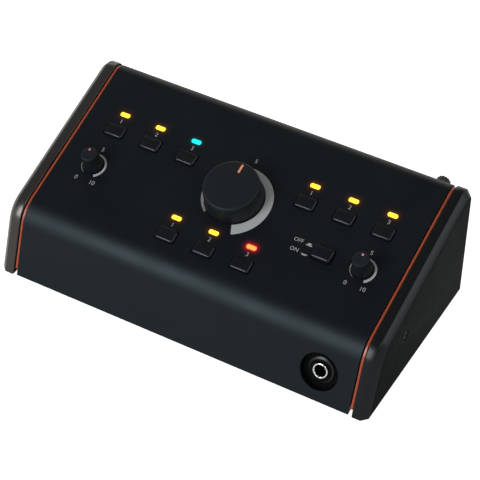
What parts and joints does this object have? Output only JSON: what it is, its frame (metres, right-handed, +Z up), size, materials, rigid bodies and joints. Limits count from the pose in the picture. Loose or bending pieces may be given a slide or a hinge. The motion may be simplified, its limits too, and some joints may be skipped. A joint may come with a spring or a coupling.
{
  "type": "studio monitor controller",
  "caption": "Desktop studio monitor controller: wedge-shaped steel housing between thick end cheeks, with a large volume knob, level knobs, lit push buttons, a phones socket and rear sockets.",
  "frame": {"origin": "on the table under the middle of the whole outline", "axes": "+X to the user's right along the front, +Y from the user to the rear sockets, +Z up"},
  "size_m": [0.2476, 0.1392, 0.0822],
  "materials": {
    "cover_black": "fine satin powder coat",
    "tray_black": "satin powder coat",
    "accent_orange": "glossy orange lacquer",
    "cheek_black": "satin black",
    "screw_steel": "plain steel",
    "foot_rubber": "matt black",
    "lens_amber": "clear amber",
    "lens_cyan": "clear cyan",
    "lens_red": "clear red",
    "button_black": "satin black",
    "knob_black": "soft satin black",
    "pointer_orange": "painted orange",
    "pot_metal": "plain steel",
    "board_green": "solder resist",
    "socket_black": "moulded black",
    "ferrule_chrome": "polished"
  },
  "bodies": {
    "housing": {"top_cover": "cover_black", "base_tray": "tray_black", "accent_plate_left": "accent_orange", "cheek_left": "cheek_black", "cheek_screw_left": "screw_steel", "foot_front_left": "foot_rubber", "foot_rear_left": "foot_rubber", "accent_plate_right": "accent_orange", "cheek_right": "cheek_black", "cheek_screw_right": "screw_steel", "foot_front_right": "foot_rubber", "foot_rear_right": "foot_rubber", "lens_source_1": "lens_amber", "lens_mode_1": "lens_amber", "lens_output_1": "lens_amber", "lens_source_2": "lens_amber", "lens_mode_2": "lens_amber", "lens_output_2": "lens_amber", "lens_source_3": "lens_cyan", "lens_mode_3": "lens_red", "lens_output_3": "lens_amber", "main_pot": "pot_metal", "aux_pot": "pot_metal", "phones_pot": "pot_metal", "control_board": "board_green", "main_board": "board_green", "phones_socket": "socket_black", "phones_ferrule": "ferrule_chrome", "input_left": "socket_black", "input_right": "socket_black", "aux_input": "socket_black", "power_inlet": "socket_black", "power_rocker_housing": "socket_black", "output_1_left": "socket_black", "output_1_right": "socket_black", "output_2_left": "socket_black", "output_2_right": "socket_black", "output_3_left": "socket_black", "output_3_right": "socket_black", "rear_trim_pot": "pot_metal"},
    "main_volume": {"main_knob": "knob_black", "main_knob_pointer": "pointer_orange", "main_pot_shaft": "pot_metal"},
    "aux_level": {"aux_knob": "knob_black", "aux_pot_shaft": "pot_metal"},
    "phones_level": {"phones_knob": "knob_black", "phones_pot_shaft": "pot_metal"},
    "rear_trim": {"rear_trim_knob": "knob_black"},
    "mains_rocker": {"power_rocker": "button_black"},
    "source_1_cap": {"button_source_1": "button_black"},
    "mode_1_cap": {"button_mode_1": "button_black"},
    "output_1_cap": {"button_output_1": "button_black"},
    "source_2_cap": {"button_source_2": "button_black"},
    "mode_2_cap": {"button_mode_2": "button_black"},
    "output_2_cap": {"button_output_2": "button_black"},
    "source_3_cap": {"button_source_3": "button_black"},
    "mode_3_cap": {"button_mode_3": "button_black"},
    "output_3_cap": {"button_output_3": "button_black"},
    "listen_select_cap": {"button_listen_select": "button_black"}
  },
  "joints": [
    {"name": "main_volume_turn", "type": "hinge", "parent": "housing", "child": "main_volume", "pos_m": [0, -0.00393, 0.07012], "axis": [0, -0.3338, 0.9426], "range_deg": [-150, 150]},
    {"name": "aux_level_turn", "type": "hinge", "parent": "housing", "child": "aux_level", "pos_m": [-0.0901, -0.01635, 0.06572], "axis": [0, -0.3338, 0.9426], "range_deg": [-150, 150]},
    {"name": "phones_level_turn", "type": "hinge", "parent": "housing", "child": "phones_level", "pos_m": [0.0901, -0.01635, 0.06572], "axis": [0, -0.3338, 0.9426], "range_deg": [-150, 150]},
    {"name": "rear_trim_turn", "type": "hinge", "parent": "housing", "child": "rear_trim", "pos_m": [0.1006, 0.06361, 0.0672], "axis": [0, 1, 0], "range_deg": [-150, 150]},
    {"name": "mains_rocker_tilt", "type": "hinge", "parent": "housing", "child": "mains_rocker", "pos_m": [-0.09003, 0.05801, 0.035], "axis": [1, 0, 0], "range_deg": [0, 18]},
    {"name": "source_1_press", "type": "slide", "parent": "housing", "child": "source_1_cap", "axis": [0, 0.3338, -0.9426], "range_m": [0, 0.0012], "stiffness_N_per_m": 400, "springref_m": -0.0004},
    {"name": "mode_1_press", "type": "slide", "parent": "housing", "child": "mode_1_cap", "axis": [0, 0.3338, -0.9426], "range_m": [0, 0.0012], "stiffness_N_per_m": 400, "springref_m": -0.0004},
    {"name": "output_1_press", "type": "slide", "parent": "housing", "child": "output_1_cap", "axis": [0, 0.3338, -0.9426], "range_m": [0, 0.0012], "stiffness_N_per_m": 400, "springref_m": -0.0004},
    {"name": "source_2_press", "type": "slide", "parent": "housing", "child": "source_2_cap", "axis": [0, 0.3338, -0.9426], "range_m": [0, 0.0012], "stiffness_N_per_m": 400, "springref_m": -0.0004},
    {"name": "mode_2_press", "type": "slide", "parent": "housing", "child": "mode_2_cap", "axis": [0, 0.3338, -0.9426], "range_m": [0, 0.0012], "stiffness_N_per_m": 400, "springref_m": -0.0004},
    {"name": "output_2_press", "type": "slide", "parent": "housing", "child": "output_2_cap", "axis": [0, 0.3338, -0.9426], "range_m": [0, 0.0012], "stiffness_N_per_m": 400, "springref_m": -0.0004},
    {"name": "source_3_press", "type": "slide", "parent": "housing", "child": "source_3_cap", "axis": [0, 0.3338, -0.9426], "range_m": [0, 0.0012], "stiffness_N_per_m": 400, "springref_m": -0.0004},
    {"name": "mode_3_press", "type": "slide", "parent": "housing", "child": "mode_3_cap", "axis": [0, 0.3338, -0.9426], "range_m": [0, 0.0012], "stiffness_N_per_m": 400, "springref_m": -0.0004},
    {"name": "output_3_press", "type": "slide", "parent": "housing", "child": "output_3_cap", "axis": [0, 0.3338, -0.9426], "range_m": [0, 0.0012], "stiffness_N_per_m": 400, "springref_m": -0.0004},
    {"name": "listen_select_press", "type": "slide", "parent": "housing", "child": "listen_select_cap", "axis": [0, 0.3338, -0.9426], "range_m": [0, 0.0022], "stiffness_N_per_m": 400, "springref_m": -0.0004}
  ]
}
